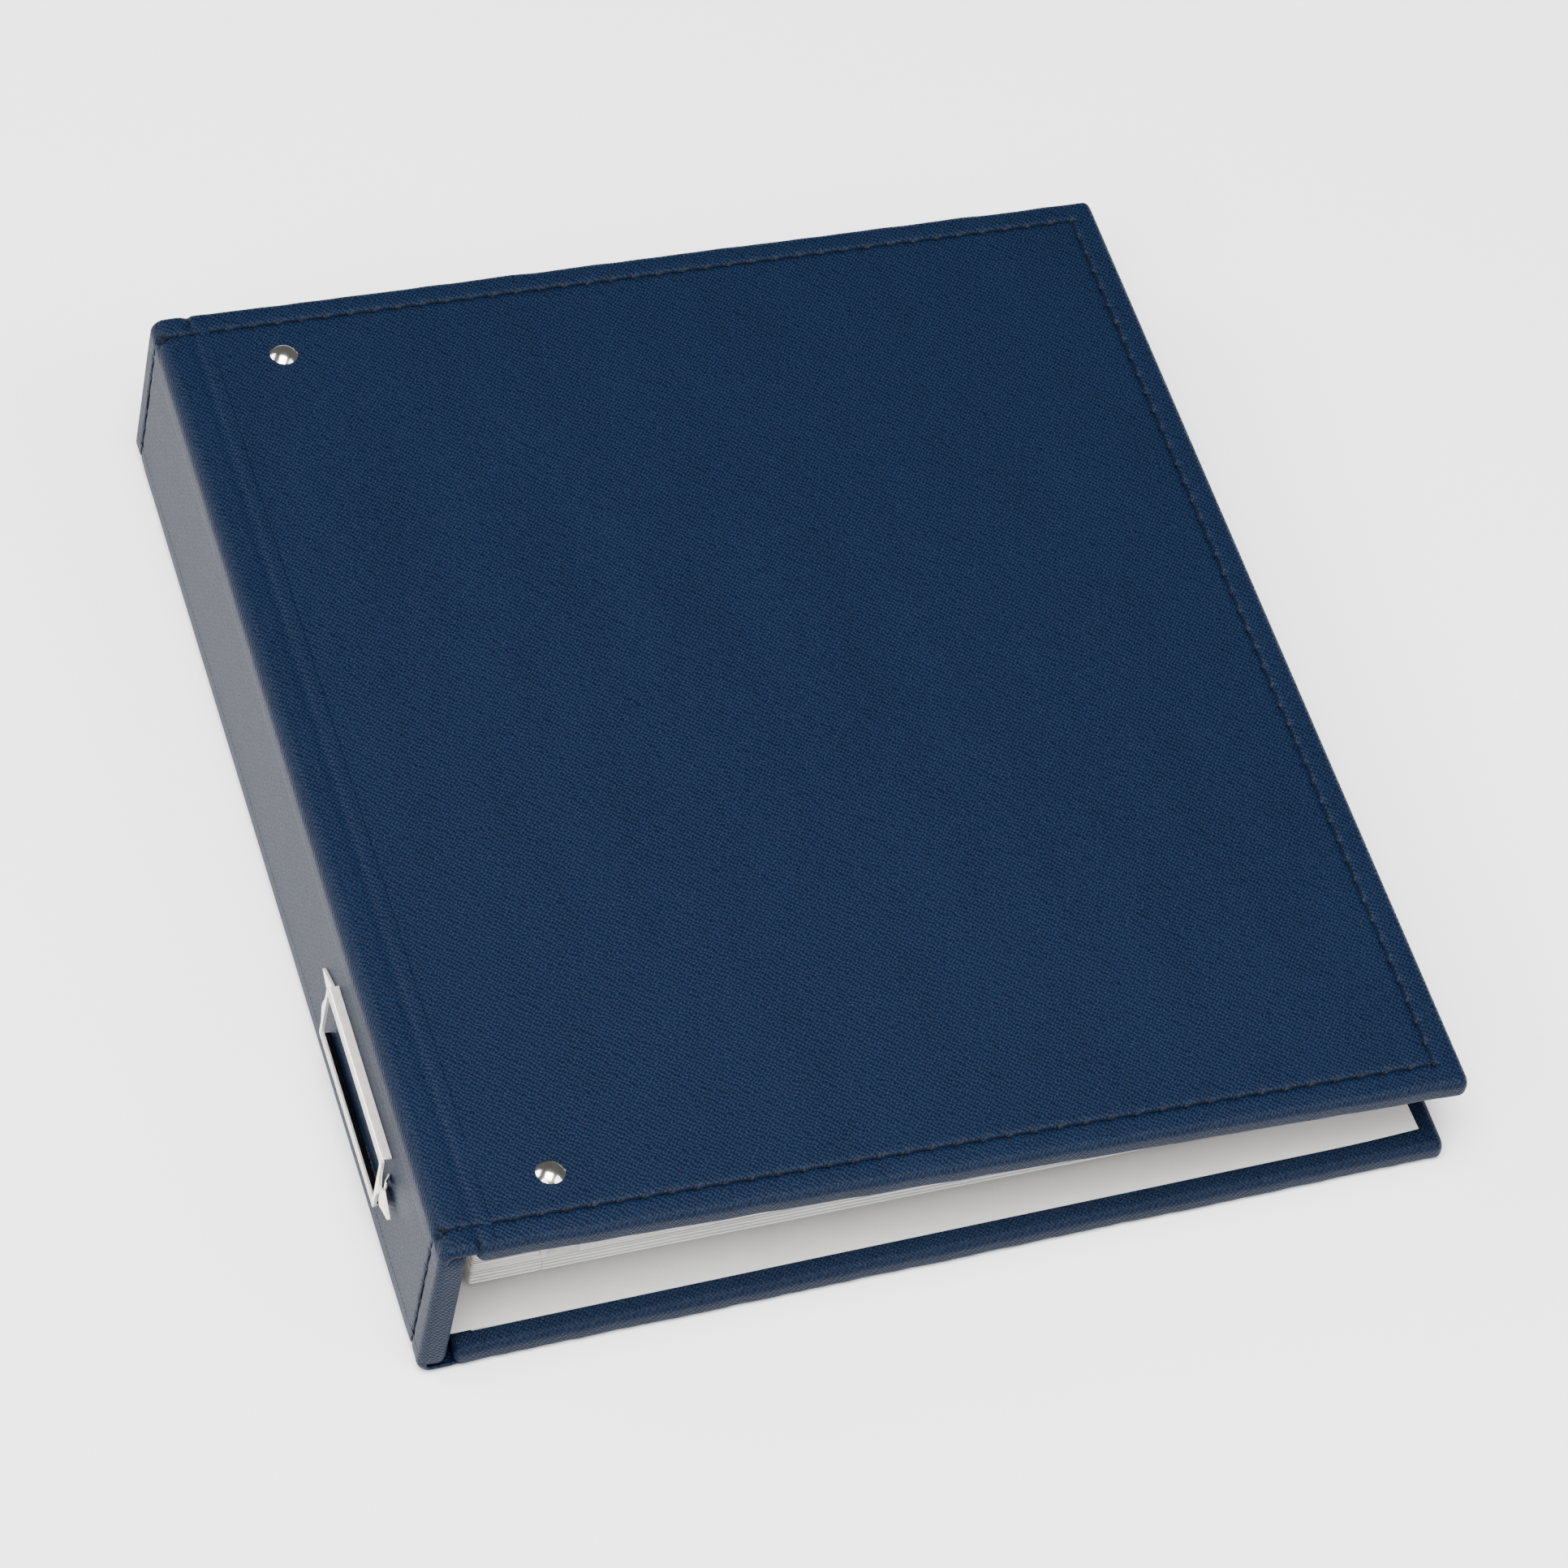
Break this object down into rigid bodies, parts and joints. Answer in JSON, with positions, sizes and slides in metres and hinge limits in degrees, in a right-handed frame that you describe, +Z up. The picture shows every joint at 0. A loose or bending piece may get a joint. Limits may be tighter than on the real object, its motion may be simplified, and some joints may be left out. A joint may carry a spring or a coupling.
{
  "type": "scrapbook album",
  "caption": "Ring-bound scrapbook album with padded leatherette covers, a spine label holder, an opening ring mechanism and page protectors that turn.",
  "frame": {"origin": "middle of the closed album's footprint, on the surface it lies on", "axes": "+X from the spine to the fore-edge, +Y along the spine, +Z up; the album lies closed on its front cover"},
  "size_m": [0.278, 0.318, 0.0509],
  "materials": {
    "leatherette": "cross-grained navy leatherette, satin",
    "foam": "thin sheet foam",
    "greyboard": "plain binder's board",
    "lining_paper": "smooth matt endpaper",
    "thread": "twisted polyester thread",
    "nickel": "polished nickel plate",
    "ring_steel": "bright plated steel",
    "rail_steel": "zinc plated strip",
    "page_stack": "stacked page protectors with paper inserts",
    "page_sleeve": "clear sleeve over a white page"
  },
  "bodies": {
    "front_cover": {"front_cover_skin": "leatherette", "front_cover_padding": "foam", "front_cover_board": "greyboard", "front_cover_lining": "lining_paper", "front_cover_stitching": "thread"},
    "spine": {"spine_skin": "leatherette", "spine_padding": "foam", "spine_board": "greyboard", "spine_lining": "lining_paper", "spine_stitching": "thread", "label_holder": "nickel"},
    "back_cover": {"back_cover_skin": "leatherette", "back_cover_padding": "foam", "back_cover_board": "greyboard", "back_cover_lining": "lining_paper", "back_cover_stitching": "thread", "ring_rivets": "nickel", "ring_housing": "ring_steel", "lever_pins": "rail_steel", "leaf_strips": "page_sleeve", "page_pack_1": "page_stack", "page_pack_2": "page_stack", "page_pack_3": "page_stack", "page_pack_4": "page_stack", "page_pack_5": "page_stack"},
    "ring_page_side": {"page_side_rail": "rail_steel", "ring_legs": "ring_steel"},
    "ring_spine_side": {"spine_side_rail": "rail_steel", "ring_arches": "ring_steel"},
    "near_lever": {"near_lever": "ring_steel"},
    "far_lever": {"far_lever": "ring_steel"},
    "leaf_1": {"leaf_1": "page_sleeve"},
    "leaf_2": {"leaf_2": "page_sleeve"},
    "leaf_3": {"leaf_3": "page_sleeve"}
  },
  "joints": [
    {"name": "front_hinge", "type": "hinge", "parent": "front_cover", "child": "spine", "pos_m": [-0.13652, 0, 0.00148], "axis": [0, -1, 0], "range_deg": [0, 96.3]},
    {"name": "back_hinge", "type": "hinge", "parent": "spine", "child": "back_cover", "pos_m": [-0.13112, 0, 0.05007], "axis": [0, -1, 0], "range_deg": [0, 87.5]},
    {"name": "rings_open", "type": "hinge", "parent": "back_cover", "child": "ring_page_side", "pos_m": [-0.09144, 0, 0.03992], "axis": [0, -1, 0], "range_deg": [0, 5.5]},
    {"name": "ring_spine_side_turn", "type": "hinge", "parent": "back_cover", "child": "ring_spine_side", "pos_m": [-0.1084, 0, 0.04106], "axis": [0, 1, 0], "range_deg": [0, 5.5]},
    {"name": "near_lever_press", "type": "hinge", "parent": "back_cover", "child": "near_lever", "pos_m": [-0.09999, -0.1495, 0.03949], "axis": [-0.9977, 0, 0.0671], "range_deg": [0, 25]},
    {"name": "far_lever_press", "type": "hinge", "parent": "back_cover", "child": "far_lever", "pos_m": [-0.09999, 0.1495, 0.03949], "axis": [0.9977, 0, -0.0671], "range_deg": [0, 25]},
    {"name": "leaf_1_turn", "type": "hinge", "parent": "back_cover", "child": "leaf_1", "pos_m": [-0.09836, 0, 0.01145], "axis": [0, 1, 0], "range_deg": [0, 100.3]},
    {"name": "leaf_2_turn", "type": "hinge", "parent": "back_cover", "child": "leaf_2", "pos_m": [-0.09825, 0, 0.01285], "axis": [0, 1, 0], "range_deg": [0, 65.6]},
    {"name": "leaf_3_turn", "type": "hinge", "parent": "back_cover", "child": "leaf_3", "pos_m": [-0.09813, 0, 0.01425], "axis": [0, 1, 0], "range_deg": [0, 32.9]}
  ],
  "couplings": [
    {"joint": "ring_spine_side_turn", "follows": "rings_open", "ratio": 1},
    {"joint": "near_lever_press", "follows": "rings_open", "ratio": 4.5454},
    {"joint": "far_lever_press", "follows": "rings_open", "ratio": 4.5454},
    {"joint": "leaf_1_turn", "follows": "front_hinge", "ratio": 1.04},
    {"joint": "leaf_2_turn", "follows": "front_hinge", "ratio": 0.68},
    {"joint": "leaf_3_turn", "follows": "front_hinge", "ratio": 0.34}
  ]
}
